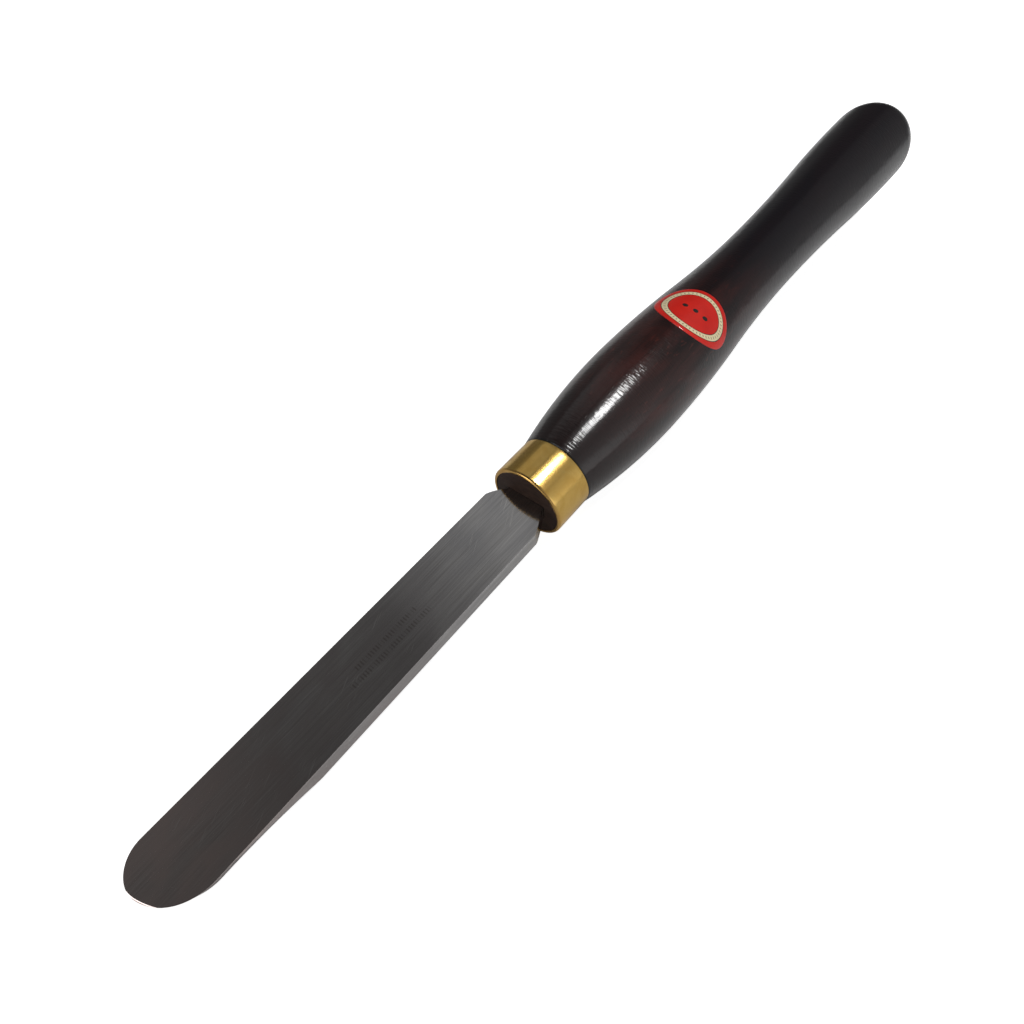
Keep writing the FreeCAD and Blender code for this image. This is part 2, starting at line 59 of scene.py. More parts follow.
ferrule_front = ferrule_high.x
ferrule_rear = ferrule_low.x
ferrule_radius = ferrule_high.z
half_width = blade_high.y
blade_top = blade_high.z
blade_bottom = blade_low.z
tang_end = blade_low.x
butt_end = handle_low.x
end_grain_face = handle_high.x
bulge_radius = handle_high.z
label_middle = (label_low.x + label_high.x) / 2

# ---------------------------------------------------------------- sizes that boxes don't tell

TIGHT_NOSE_RADIUS = 9.75 * MM
WIDE_NOSE_RADIUS = 17.7 * MM
BEVEL_SLOPE = math.tan(math.radians(20))
BEVEL_RUN = (blade_top - blade_bottom) * BEVEL_SLOPE
GROUND_SIDE_SWEEP = 280 * MM  # radius on which the bevel runs out along the +Y side
PLAIN_SIDE_SWEEP = 60 * MM  # and along the -Y side
ARRIS_CHAMFER = 0.4 * MM  # along the underside
BROKEN_EDGE = 0.06 * MM  # along the top
CREASE_ANGLE = 20.9  # in degrees, so that the bevel's own 20 run on smoothly into the side
HONED_WIDTH = 0.45 * MM  # of the small crescent honed on top of the cutting edge
HONED_FALL = math.radians(30)  # how steeply it falls outwards
HONED_MIDDLE = 0.6 * MM  # towards +Y
HONED_REACH = 5.2 * MM  # from its middle to either tip
# How far under the top the brown line on the nose fades in, and how far down it is gone again.
BROWN_LINE_START = (0.11 * MM, 0.17 * MM)
BROWN_LINE_END = (0.25 * MM, 0.4 * MM)

TANG_ROOT = ferrule_front + 0.8 * MM
TANG_ROOT_HALF_WIDTH = 7.8 * MM
TANG_END_HALF_WIDTH = 4.5 * MM
TANG_END_HALF_THICKNESS = 2 * MM
# Where each shoulder ends and the radius of its arc, on the +Y side (1) and the -Y side (-1).
SHOULDERS = {1: (ferrule_front + 10.5 * MM, 60 * MM), -1: (ferrule_front + 7 * MM, 15 * MM)}

FERRULE_WALL = 1.4 * MM
FRONT_ROUNDING = 1 * MM
REAR_ROUNDING = 0.25 * MM
INNER_ROUNDING = 0.15 * MM

SPIGOT_RADIUS = ferrule_radius - FERRULE_WALL - 0.02 * MM
SHOULDER_RADIUS = ferrule_radius + 0.1 * MM
SHOULDER_ROUNDING = 0.3 * MM
BULGE = ferrule_rear - 52 * MM
WAIST = ferrule_rear - 150 * MM
WAIST_RADIUS = 16.1 * MM
BUTT_RADIUS = 20 * MM
BUTT = butt_end + BUTT_RADIUS
BULGE_SHARE = 0.49  # of the way from bulge to waist that is on the bulge's arc
WAIST_SHARE = 0.52  # of the way from waist to butt that is on the waist's arc
SOCKET_GAP = 0.1 * MM
SOCKET_FLOOR_GAP = 2 * MM

LABEL_HALF_HEIGHT = 12.35 * MM
LABEL_HALF_SPAN = 15.65 * MM
LABEL_TURN = math.radians(17.3)  # about the X axis, from the top towards +Y
LABEL_FILM = 0.12 * MM
LABEL_LIFT = 0.02 * LABEL_FILM  # of the film's underside over the grip
RING_REACH = 0.775  # of the way from the label's middle to its edge
RING_TICKS = 48

SPOKES = 160  # faces round each turned piece


# ---------------------------------------------------------------- mesh tools


def new_piece(name, vertices, faces, materials):
    """A mesh object from points and faces, its normals turned outwards."""
    mesh = bpy.data.meshes.new(name)
    mesh.from_pydata(vertices, [], faces)
    piece = bpy.data.objects.new(name, mesh)
    bpy.context.scene.collection.objects.link(piece)
    for material in materials:
        mesh.materials.append(material)
    face_outwards(mesh)
    return piece


def face_outwards(mesh):
    """Turn every face of a closed mesh outwards."""
    solid = bmesh.new()
    solid.from_mesh(mesh)
    bmesh.ops.recalc_face_normals(solid, faces=solid.faces)
    solid.to_mesh(mesh)
    solid.free()


def shade_smooth(piece, sharp_angle=35):
    """Smooth shading, with a crease along every edge that turns more than an angle in degrees."""
    piece.data.shade_smooth()
    piece.data.set_sharp_from_angle(angle=math.radians(sharp_angle))


def stepped(start, end, count):
    """Evenly spaced values from start up to but not including end."""
    return [start + (end - start) * step / count for step in range(count)]


def rounded_corner(centre, radius, start, end, count=6):
    """Points (x, r) on a quarter arc; start and end are angles in degrees."""
    points = []
    for step in range(count + 1):
        angle = math.radians(start + (end - start) * step / count)
        points.append((centre[0] + radius * math.cos(angle), centre[1] + radius * math.sin(angle)))
    return points


def lathe(profile, looped=False):
    """Vertices and faces of a profile of (x, radius) points turned about the X axis."""
    vertices, faces, rings = [], [], []
    for x, radius in profile:
        first = len(vertices)
        if radius == 0:
            vertices.append((x, 0, 0))
            rings.append([first] * SPOKES)
            continue
        for spoke in range(SPOKES):
            angle = 2 * math.pi * spoke / SPOKES
            vertices.append((x, radius * math.sin(angle), radius * math.cos(angle)))
        rings.append(list(range(first, first + SPOKES)))
    following = rings[1:] + rings[:1] if looped else rings[1:]
    for ring, after in zip(rings, following):
        for spoke in range(SPOKES):
            beside = (spoke + 1) % SPOKES
            corners = [ring[spoke], ring[beside], after[beside], after[spoke]]
            faces.append(list(dict.fromkeys(corners)))
    return vertices, faces


# ---------------------------------------------------------------- shader tools


class NodeTree:
    """A shader tree whose nodes are added one call at a time."""

    def __init__(self, owner, shader_name):
        owner.use_nodes = True
        self.tree = owner.node_tree
        self.shader = self.tree.nodes[shader_name]

    def add(self, kind, settings=None, **inputs):
        """Add a node; an input is given as a value or as another node's output."""
        node = self.tree.nodes.new("ShaderNode" + kind)
        for name, value in (settings or {}).items():
            setattr(node, name, value)
        for name, value in inputs.items():
            self.plug(node.inputs[name.replace("_", " ")], value)
        return node

    def plug(self, socket, value):
        """Link an output to a socket, or set the socket's own value."""
        if isinstance(value, bpy.types.NodeSocket):
            self.tree.links.new(value, socket)
        else:
            socket.default_value = value

    def set(self, **inputs):
        """Set or link the shader's own sockets."""
        for name, value in inputs.items():
            self.plug(self.shader.inputs[name.replace("_", " ")], value)

    def place(self):
        """The point on the object, in metres."""
        return self.add("TexCoord").outputs["Object"]

    def stretched(self, x, y, z):
        """The point with each axis scaled, so that noise on it is finer along a larger number."""
        return self.add("Mapping", Vector=self.place(), Scale=(x, y, z)).outputs["Vector"]

    def noise(self, vector, detail=3.0, roughness=0.5, distortion=0.0):
        """Noise from 0 to 1 with features about one unit across."""
        inputs = {"Scale": 1.0, "Detail": detail, "Roughness": roughness, "Distortion": distortion}
        return self.add("TexNoise", Vector=vector, **inputs).outputs["Fac"]

    def ranged(self, value, low, high, out_low=0.0, out_high=1.0, smooth=False):
        """A value mapped from one range to another and held inside it."""
        settings = {"interpolation_type": "SMOOTHSTEP"} if smooth else {}
        ends = {"From_Min": low, "From_Max": high, "To_Min": out_low, "To_Max": out_high}
        return self.add("MapRange", settings, Value=value, **ends).outputs["Result"]

    def math(self, operation, first, second=0.0):
        """One sum on two values."""
        node = self.add("Math", {"operation": operation})
        self.plug(node.inputs[0], first)
        self.plug(node.inputs[1], second)
        return node.outputs[0]

    def distance(self, first, second):
        """How far apart two vectors are."""
        node = self.add("VectorMath", {"operation": "DISTANCE"})
        self.plug(node.inputs[0], first)
        self.plug(node.inputs[1], second)
        return node.outputs["Value"]

    def near(self, value, middle, reach):
        """1 where a value is within a reach of the middle, else 0."""
        offset = self.math("ABSOLUTE", self.math("SUBTRACT", value, middle))
        return self.math("LESS_THAN", offset, reach)

    def blended(self, first, share, second):
        """A sum of two values, the first by its share and the second by the rest."""
        rest = self.math("MULTIPLY", second, 1 - share)
        return self.math("ADD", self.math("MULTIPLY", first, share), rest)

    def axes(self, vector):
        """The three numbers of a vector."""
        node = self.add("SeparateXYZ", Vector=vector)
        return node.outputs["X"], node.outputs["Y"], node.outputs["Z"]

    def mixed(self, share, first, second):
        """A colour between two, by share."""
        node = self.add("Mix", {"data_type": "RGBA"})
        self.plug(node.inputs[0], share)
        for socket, colour in ((6, first), (7, second)):
            is_output = isinstance(colour, bpy.types.NodeSocket)
            self.plug(node.inputs[socket], colour if is_output else (*colour, 1))
        return node.outputs[2]

    def bumped(self, height, distance):
        """A normal bent by a height from 0 to 1 over a real distance in metres."""
        return self.add("Bump", Height=height, Distance=distance, Strength=1.0).outputs["Normal"]


class Finish(NodeTree):
    """A principled material."""

    def __init__(self, name, **constants):
        self.material = bpy.data.materials.new(name)
        super().__init__(self.material, "Principled BSDF")
        self.set(**constants)


# ---------------------------------------------------------------- finishes


def make_steel():
    """Ground steel: fine lengthwise grain, slight stains, stray scratches and a faint etched mark."""
    dark_grain, light_grain = (0.39, 0.38, 0.375), (0.62, 0.61, 0.605)
    stained, scratched, etched = (0.40, 0.40, 0.415), (0.80, 0.78, 0.76), (0.16, 0.12, 0.10)
    brownish, straw, brown = (0.42, 0.37, 0.36), (0.72, 0.58, 0.545), (0.11, 0.068, 0.05)
    finish = Finish("ground_steel", Metallic=1.0, Anisotropic=0.4)
    fine = finish.noise(finish.stretched(50, 2700, 2700), detail=3, roughness=0.6)
    streaks = finish.noise(finish.stretched(18, 700, 700), detail=3)
    stains = finish.noise(finish.stretched(45, 80, 80), detail=4, distortion=0.6)
    tone = finish.blended(fine, 0.65, streaks)
    colour = finish.mixed(finish.ranged(tone, 0.36, 0.64), dark_grain, light_grain)
    along, across, up = finish.axes(finish.place())
    forwards = finish.ranged(along, 20 * MM, 0.75 * blade_high.x, smooth=True)
    warm = finish.math("MULTIPLY", forwards, finish.ranged(stains, 0.35, 0.65, 0.45, 1.0))
    colour = finish.mixed(finish.ranged(stains, 0.4, 0.7, 0.0, 0.5), colour, stained)
    at_nose = finish.ranged(along, 0.65 * blade_high.x, 0.98 * blade_high.x, smooth=True)
    colour = finish.mixed(warm, colour, finish.mixed(at_nose, brownish, straw))
    # A thin brown line along the nose's tip, just under the top edge.
    depth = finish.math("SUBTRACT", blade_top, up)
    begun = finish.ranged(depth, *BROWN_LINE_START)
    not_over = finish.ranged(depth, *BROWN_LINE_END, 1.0, 0.0)
    on_tip = finish.math("GREATER_THAN", along, blade_high.x - HONED_REACH)
    brown_line = finish.math("MULTIPLY", finish.math("MULTIPLY", begun, not_over), on_tip)
    colour = finish.mixed(brown_line, colour, brown)
    colour = finish.mixed(scratches(finish), colour, scratched)
    colour = finish.mixed(etched_mark(finish, along, across, up), colour, etched)
    finish.set(Base_Color=colour)
    finish.set(Roughness=finish.ranged(along, ferrule_front, 100 * MM, 0.13, 0.21))
    sideways = finish.add("VectorMath", {"operation": "CROSS_PRODUCT"})
    finish.plug(sideways.inputs[0], finish.add("NewGeometry").outputs["Normal"])
    finish.plug(sideways.inputs[1], (1, 0, 0))
    finish.set(Tangent=sideways.outputs["Vector"])
    finish.set(Normal=finish.bumped(tone, 0.004 * MM))
    return finish.material


def scratches(finish):
    """A few hair-thin stray marks at a slant to the grain."""
    slant = 0.45
    inputs = {"Rotation": (0, 0, slant), "Scale": (9 * MM, 0.22 * MM, 2 * MM)}
    turned = finish.add("Mapping", {"vector_type": "TEXTURE"}, Vector=finish.place(), **inputs)
    lines = finish.ranged(finish.noise(turned.outputs["Vector"], detail=0), 0.74, 0.78)
    patches = finish.ranged(finish.noise(finish.stretched(90, 90, 90), detail=1), 0.52, 0.62)
    return finish.math("MULTIPLY", finish.math("MULTIPLY", lines, patches), 0.5)


def etched_mark(finish, along, across, up):
    """Two rows of plain even ticks, in groups, where a bar is usually marked."""
    rows = ((52 * MM, 86 * MM, 2.7 * MM), (55 * MM, 81 * MM, -1.0 * MM))
    tick, group, half_height = 1.1 * MM, 6.6 * MM, 0.9 * MM
    beat = finish.math("LESS_THAN", finish.math("PINGPONG", along, tick / 2), tick * 0.19)
    grouped = finish.math("LESS_THAN", finish.math("FLOORED_MODULO", along, group), group * 0.83)
    mark = 0.0
    for start, end, middle in rows:
        inside = finish.near(across, middle, half_height)
        after_start = finish.math("GREATER_THAN", along, ferrule_front + start)
        before_end = finish.math("LESS_THAN", along, ferrule_front + end)
        row = finish.math("MULTIPLY", inside, finish.math("MULTIPLY", after_start, before_end))
        mark = finish.math("ADD", row, mark)
    on_top = finish.math("GREATER_THAN", up, blade_top - BROKEN_EDGE)
    pattern = finish.math("MULTIPLY", finish.math("MULTIPLY", beat, grouped), on_top)
    return finish.math("MULTIPLY", finish.math("MULTIPLY", mark, pattern), 0.4)


def make_brass():
    """Polished brass tube with fine turning lines, faint tarnish and painted shade on the rounded front
    rim.
    """
    clean, tarnished, rim_shade = (0.90, 0.60, 0.18), (0.77, 0.47, 0.115), (0.50, 0.27, 0.10)
    finish = Finish("polished_brass", Metallic=1.0)
    turned = finish.noise(finish.stretched(4500, 60, 60), detail=2)
    drawn = finish.noise(finish.stretched(60, 900, 900), detail=3)
    tarnish = finish.noise(finish.stretched(160, 160, 160), detail=5, distortion=0.8)
    colour = finish.mixed(finish.ranged(tarnish, 0.35, 0.7), clean, tarnished)
    along = finish.axes(finish.place())[0]
    # Painted shade: the front rim's rounding is darkened towards brown.
    rim = finish.ranged(along, ferrule_front - FRONT_ROUNDING, ferrule_front - 0.3 * FRONT_ROUNDING)
    colour = finish.mixed(finish.math("MULTIPLY", rim, 0.5), colour, rim_shade)
    finish.set(Base_Color=colour)
    finish.set(Roughness=finish.ranged(finish.blended(tarnish, 0.6, drawn), 0.35, 0.65, 0.15, 0.27))
    finish.set(Normal=finish.bumped(finish.blended(turned, 0.5, drawn), 0.006 * MM))
    return finish.material


def make_lacquered_wood():
    """Nearly black red-brown hardwood under gloss lacquer, redder where the bulge is thick, with painted
    shade in the groove just behind the ferrule.
    """
    dark_butt, dark_front = (0.0065, 0.0050, 0.0080), (0.010, 0.0045, 0.0045)
    glowing, fleck = (0.060, 0.0130, 0.0105), (0.110, 0.022, 0.015)
    pore, groove_shade = (0.004, 0.003, 0.003), (0.002, 0.0015, 0.0015)
    finish = Finish("lacquered_wood", Coat_Weight=1.0, Coat_Roughness=0.12, Coat_IOR=1.5)
    finish.set(Specular_IOR_Level=0.15, Roughness=0.3)
    flame = finish.noise(finish.stretched(22, 90, 90), detail=4, roughness=0.5, distortion=0.8)
    flecks = finish.noise(finish.stretched(260, 800, 800), detail=2)
    pores = finish.noise(finish.stretched(70, 2400, 2400), detail=3)
    rings = finish.noise(finish.stretched(1700, 300, 300), detail=1)
    dust = finish.ranged(finish.noise(finish.stretched(1500, 1500, 1500), detail=0), 0.72, 0.85)
    along = finish.axes(finish.place())[0]
    towards_front = finish.ranged(along, WAIST, BULGE, 0.05, 1.0, smooth=True)
    before_ferrule = finish.ranged(along, BULGE, ferrule_rear - 8 * MM, 1.0, 0.1, smooth=True)
    red_part = finish.math("MULTIPLY", towards_front, before_ferrule)
    glow = finish.math("MULTIPLY", finish.ranged(flame, 0.3, 0.75, smooth=True), red_part)
    colour = finish.mixed(glow, finish.mixed(towards_front, dark_butt, dark_front), glowing)
    reddish = finish.math("MULTIPLY", finish.ranged(flecks, 0.62, 0.74, 0.0, 0.45), red_part)
    colour = finish.mixed(reddish, colour, fleck)
    colour = finish.mixed(finish.ranged(pores, 0.55, 0.72, 0.0, 0.6), colour, pore)
    # Painted shade: the wood just behind the ferrule is darkened, as shade in the groove between wood and
    # brass.
    groove_shade_mask = finish.ranged(along, ferrule_rear - 0.9 * MM, ferrule_rear - 0.2 * MM)
    colour = finish.mixed(groove_shade_mask, colour, groove_shade)
    finish.set(Base_Color=colour)
    ripple = finish.math("ADD", finish.math("MULTIPLY", rings, 0.75), finish.math("MULTIPLY", pores, 0.1))
    ripple = finish.math("ADD", ripple, finish.math("MULTIPLY", dust, 0.15))
    lacquer = finish.bumped(ripple, 0.105 * MM)
    finish.set(Normal=lacquer, Coat_Normal=lacquer)
    return finish.material


def make_end_grain():
    """Stained end grain: open pores across the fibres and faint rays from the heart."""
    dark_ray, light_ray, hollow = (0.026, 0.0125, 0.008), (0.062, 0.031, 0.020), (0.008, 0.004, 0.003)
    finish = Finish("end_grain", Roughness=0.6, Specular_IOR_Level=0.3)
    cells = finish.add("TexVoronoi", Vector=finish.stretched(300, 2600, 2600), Scale=1.0)
    pores = finish.ranged(cells.outputs["Distance"], 0.12, 0.3)
    rays = finish.noise(finish.stretched(50, 350, 2200), detail=3)
    colour = finish.mixed(finish.ranged(rays, 0.3, 0.7), dark_ray, light_ray)
    colour = finish.mixed(pores, hollow, colour)
    finish.set(Base_Color=colour)
    finish.set(Normal=finish.bumped(pores, 0.08 * MM))
    return finish.material


def make_label_print():
    """Red print with a ticked cream ring between dark keylines and three dots in the middle."""
    finish = Finish("label_print", Coat_Weight=0.7, Coat_Roughness=0.06, Coat_IOR=1.5)
    finish.set(Specular_IOR_Level=0.3)
    plan = finish.add("UVMap", {"uv_map": "plan"}).outputs["UV"]
    reach = finish.distance(plan, (0, 0, 0))
    paper = finish.noise(finish.stretched(1500, 1500, 1500), detail=3)
    patches = finish.noise(finish.stretched(120, 120, 120), detail=2)
    red = finish.mixed(finish.ranged(patches, 0.3, 0.7), (0.66, 0.010, 0.004), (0.78, 0.016, 0.006))
    cream = finish.mixed(finish.ranged(paper, 0.3, 0.7), (0.84, 0.71, 0.42), (0.93, 0.81, 0.52))
    ink = (0.020, 0.014, 0.012)
    colour = finish.mixed(finish.near(reach, RING_REACH, 0.085), red, ink)
    colour = finish.mixed(finish.near(reach, RING_REACH, 0.068), colour, cream)
    along, across = finish.axes(plan)[:2]
    turn = finish.math("MULTIPLY", finish.math("ARCTAN2", along, across), RING_TICKS)
    beat = finish.math("GREATER_THAN", finish.math("COSINE", turn), 0.6)
    ticks = finish.math("MULTIPLY", beat, finish.near(reach, RING_REACH, 0.030))
    colour = finish.mixed(finish.math("MULTIPLY", ticks, 0.55), colour, ink)
    for place in (-0.3, 0.0, 0.3):
        dot = finish.math("LESS_THAN", finish.distance(plan, (0, place, 0)), 0.075)
        colour = finish.mixed(dot, colour, ink)
    finish.set(Base_Color=colour)
    finish.set(Roughness=finish.ranged(paper, 0.3, 0.7, 0.35, 0.5))
    fibres = finish.bumped(paper, 0.01 * MM)
    finish.set(Normal=fibres, Coat_Normal=fibres)
    return finish.material


# ---------------------------------------------------------------- blade


def bar_half_width(x, side):
    """Half the bar's width at a station: tapered tang, rounded shoulder, then full width."""
    shoulder_end, radius = SHOULDERS[side]
    if x >= shoulder_end:
        return half_width
    if x <= TANG_ROOT:
        share = (x - tang_end) / (TANG_ROOT - tang_end)
        return TANG_END_HALF_WIDTH + (TANG_ROOT_HALF_WIDTH - TANG_END_HALF_WIDTH) * share
    root = Vector((TANG_ROOT, TANG_ROOT_HALF_WIDTH))
    corner = Vector((shoulder_end, half_width))
    chord = corner - root
    depth = math.sqrt(radius**2 - (chord.length / 2) ** 2)
    centre = (root + corner) / 2 + Vector((chord.y, -chord.x)).normalized() * depth
    return centre.y + math.sqrt(radius**2 - (x - centre.x) ** 2)


def half_thickness(x):
    """Half the steel's thickness at a station; the tang thins towards its end."""
    share = min(1, (x - tang_end) / (TANG_ROOT - tang_end))
    return TANG_END_HALF_THICKNESS + (blade_top - TANG_END_HALF_THICKNESS) * share


class Station:
    """One point on the top outline: where it is, which way is out, and how the side drops away."""

    def __init__(self, place, outwards, top, chamfer, sweep=None, sweep_distance=0.0, honed=0.0):
        self.place = place
        self.outwards = outwards
        self.top = top
        self.chamfer = chamfer
        self.sweep = sweep
        self.sweep_distance = sweep_distance
        self.honed = honed

    def bevel_inset(self, z):
        """How far in the grinding wheel has cut at a height."""
        set_back = (blade_top - z) * BEVEL_SLOPE
        if self.sweep is None:
            return set_back
        reach = (self.sweep + set_back) ** 2 - self.sweep_distance**2
        return max(0.0, math.sqrt(max(reach, 0.0)) - self.sweep)

    def inset(self, z):
        """How far in the side lies at a height, by bevel or by chamfer."""
        return max(self.bevel_inset(z), self.chamfer - (z + self.top))

    def crease(self):
        """The height where the upright side meets the bevel."""
        if self.sweep is None:
            return self.top
        fade = math.hypot(self.sweep, self.sweep_distance) - self.sweep
        return blade_top - fade / BEVEL_SLOPE

    def column(self):
        """The points down the side, from just inside the broken top edge to the underside."""
        edge = self.top - self.honed / (BEVEL_SLOPE + 1 / math.tan(HONED_FALL))
        below_edge = edge - BROKEN_EDGE
        support = edge - 3 * BROKEN_EDGE
        wall_end = min(support - BROKEN_EDGE, max(self.crease(), self.chamfer - self.top))
        middle = self.chamfer / 2 - self.top
        steps = [(self.honed + 3 * BROKEN_EDGE, self.top), (self.honed + BROKEN_EDGE, self.top)]
        steps.append((max(0.0, self.inset(edge)) + 0.4 * BROKEN_EDGE, edge - 0.4 * BROKEN_EDGE))
        heights = (below_edge, support, wall_end, middle, -self.top)
        steps += [(max(0.0, self.inset(z)), z) for z in heights]
        steps.append((steps[-1][0] + 3 * BROKEN_EDGE, -self.top))
        points = []
        for inset, z in steps:
            x = self.place.x - self.outwards.x * inset
            y = self.place.y - self.outwards.y * inset
            points.append((x, y, z))
        return points


def bar_station(x, side, sweep, nose_start):
    """A station on the straight part of one side."""
    width = bar_half_width(x, side)
    lost = half_width - width
    chamfer = max(BROKEN_EDGE, ARRIS_CHAMFER - lost)
    distance = max(0.0, nose_start - x)
    place, outwards = Vector((x, side * width)), Vector((0, side))
    return Station(place, outwards, half_thickness(x), chamfer, sweep, distance)


def arc_station(centre, radius, angle):
    """A station on one of the nose's arcs."""
    outwards = Vector((math.cos(angle), math.sin(angle)))
    place = centre + outwards * radius
    honed = HONED_WIDTH * max(0.0, 1 - ((place.y - HONED_MIDDLE) / HONED_REACH) ** 2)
    return Station(place, outwards, blade_top, BROKEN_EDGE, honed=honed)


def blade_stations():
    """Pairs of stations, ground side and plain side, from the tang's end to the nose's last pair,
    and the single station where the two arcs join."""
    nose_tip = blade_high.x
    tight_centre = Vector((nose_tip - TIGHT_NOSE_RADIUS, TIGHT_NOSE_RADIUS - half_width))
    wide_y = half_width - WIDE_NOSE_RADIUS
    rise = tight_centre.y - wide_y
    between = WIDE_NOSE_RADIUS - TIGHT_NOSE_RADIUS
    wide_centre = Vector((tight_centre.x - math.sqrt(between**2 - rise**2), wide_y))
    join_angle = math.asin(rise / between)
    shoulder_ends = sorted(shoulder[0] for shoulder in SHOULDERS.values())
    fade_run = math.sqrt((BEVEL_RUN + GROUND_SIDE_SWEEP) ** 2 - GROUND_SIDE_SWEEP**2)
    fade_start = wide_centre.x - fade_run
    marks = (tang_end, TANG_ROOT, *shoulder_ends, fade_start, wide_centre.x)
    places = []
    for start, end, count in zip(marks, marks[1:], (10, 16, 6, 20, 48)):
        places += stepped(start, end, count)
    pairs = []
    for x in places:
        ground = bar_station(x, 1, GROUND_SIDE_SWEEP, wide_centre.x)
        plain = bar_station(x, -1, PLAIN_SIDE_SWEEP, tight_centre.x)
        pairs.append((ground, plain))
    count = 72
    straight = tight_centre.x - wide_centre.x
    plain_path = straight + TIGHT_NOSE_RADIUS * (math.pi / 2 + join_angle)
    for step in range(count):
        share = step / count
        angle = math.pi / 2 - (math.pi / 2 - join_angle) * share
        ground = arc_station(wide_centre, WIDE_NOSE_RADIUS, angle)
        travelled = plain_path * share
        if travelled < straight:
            plain = bar_station(wide_centre.x + travelled, -1, PLAIN_SIDE_SWEEP, tight_centre.x)
        else:
            angle = (travelled - straight) / TIGHT_NOSE_RADIUS - math.pi / 2
            plain = arc_station(tight_centre, TIGHT_NOSE_RADIUS, angle)
        pairs.append((ground, plain))
    return pairs, arc_station(wide_centre, WIDE_NOSE_RADIUS, join_angle)


def build_blade(steel):
    """The blade and its tang as one closed mesh of quads between two sides."""
    pairs, tip = blade_stations()
    vertices, faces, columns = [], [], []

    def stack(station):
        first = len(vertices)
        vertices.extend(station.column())
        return list(range(first, len(vertices)))

    for ground, plain in pairs:
        columns.append((stack(ground), stack(plain)))
    last = stack(tip)
    columns.append((last, last))
    for (ground, plain), (next_ground, next_plain) in zip(columns, columns[1:]):
        for side, next_side in ((ground, next_ground), (plain, next_plain)):
            for upper in range(len(side) - 1):
                faces.append([side[upper], side[upper + 1], next_side[upper + 1], next_side[upper]])
        for level in (0, -1):
            corners = [ground[level], plain[level], next_plain[level], next_ground[level]]
            faces.append(list(dict.fromkeys(corners)))
    first_ground, first_plain = columns[0]
    faces.append(first_ground + first_plain[::-1])
    blade = new_piece("scraper_blade", vertices, faces, [steel])
    shade_smooth(blade, CREASE_ANGLE)
    return blade


# ---------------------------------------------------------------- ferrule


def build_ferrule(brass):
    """The brass tube: front rim well rounded, rear rim and bore just broken."""
    outer = ferrule_radius
    bore = outer - FERRULE_WALL
    rear_corner = (ferrule_rear + REAR_ROUNDING, outer - REAR_ROUNDING)
    front_corner = (ferrule_front - FRONT_ROUNDING, outer - FRONT_ROUNDING)
    front_bore_corner = (ferrule_front - INNER_ROUNDING, bore + INNER_ROUNDING)
    rear_bore_corner = (ferrule_rear + INNER_ROUNDING, bore + INNER_ROUNDING)
    profile = rounded_corner(rear_corner, REAR_ROUNDING, 180, 90)
    profile += [(x, outer) for x in stepped(rear_corner[0], front_corner[0], 12)[1:]]
    profile += rounded_corner(front_corner, FRONT_ROUNDING, 90, 0, 10)
    profile += rounded_corner(front_bore_corner, INNER_ROUNDING, 0, -90, 4)
    profile += [(x, bore) for x in stepped(front_bore_corner[0], rear_bore_corner[0], 6)[1:]]
    profile += rounded_corner(rear_bore_corner, INNER_ROUNDING, -90, -180, 4)
    ferrule = new_piece("brass_ferrule", *lathe(profile, looped=True), [brass])
    shade_smooth(ferrule)
    return ferrule


# ---------------------------------------------------------------- handle


def sagitta(radius, distance):
    """How far an arc falls away from its level point over a distance."""
    return radius - math.sqrt(radius**2 - distance**2)


def s_curve(x, high, low, high_share):
    """Radius on two arcs that run level at a high and a low point and meet in between."""
    run = abs(high[0] - low[0])
    fall = high[1] - low[1]
    both_radii = (run**2 + fall**2) / (2 * fall)
    from_high = abs(x - high[0])
    if from_high <= high_share * run:
        return high[1] - sagitta(both_radii * high_share, from_high)
    return low[1] + sagitta(both_radii * (1 - high_share), abs(x - low[0]))


def grip_radius(x):
    """The turned grip's radius at a station."""
    if x > BULGE:
        run = ferrule_rear - BULGE
        rise = bulge_radius - SHOULDER_RADIUS
        return bulge_radius - sagitta((run**2 + rise**2) / (2 * rise), x - BULGE)
    if x > WAIST:
        return s_curve(x, (BULGE, bulge_radius), (WAIST, WAIST_RADIUS), BULGE_SHARE)
    if x > BUTT:
        return s_curve(x, (BUTT, BUTT_RADIUS), (WAIST, WAIST_RADIUS), 1 - WAIST_SHARE)
    return math.sqrt(max(0.0, BUTT_RADIUS**2 - (x - BUTT) ** 2))


def handle_profile():
    """From the middle of the end grain, over the spigot and the grip, to the middle of the butt."""
    rim = 0.2 * MM
    profile = [(end_grain_face, 0.0)]
    profile += [(end_grain_face, SPIGOT_RADIUS * share) for share in (0.3, 0.6, 0.85, 0.95)]
    profile += rounded_corner((end_grain_face - rim, SPIGOT_RADIUS - rim), rim, 0, 90, 3)
    profile += [(x, SPIGOT_RADIUS) for x in stepped(end_grain_face - rim, ferrule_rear, 5)[1:]]
    profile += [(ferrule_rear, SPIGOT_RADIUS)]
    corner = (ferrule_rear - SHOULDER_ROUNDING, SHOULDER_RADIUS - SHOULDER_ROUNDING)
    profile += rounded_corner(corner, SHOULDER_ROUNDING, 0, 90, 5)
    behind_shoulder = ferrule_rear - 1.2 * SHOULDER_ROUNDING
    profile += [(x, grip_radius(x)) for x in stepped(behind_shoulder, BUTT, 190)]
    profile += rounded_corner((BUTT, 0.0), BUTT_RADIUS, 90, 180, 32)[:-1]
    return profile + [(butt_end, 0.0)]


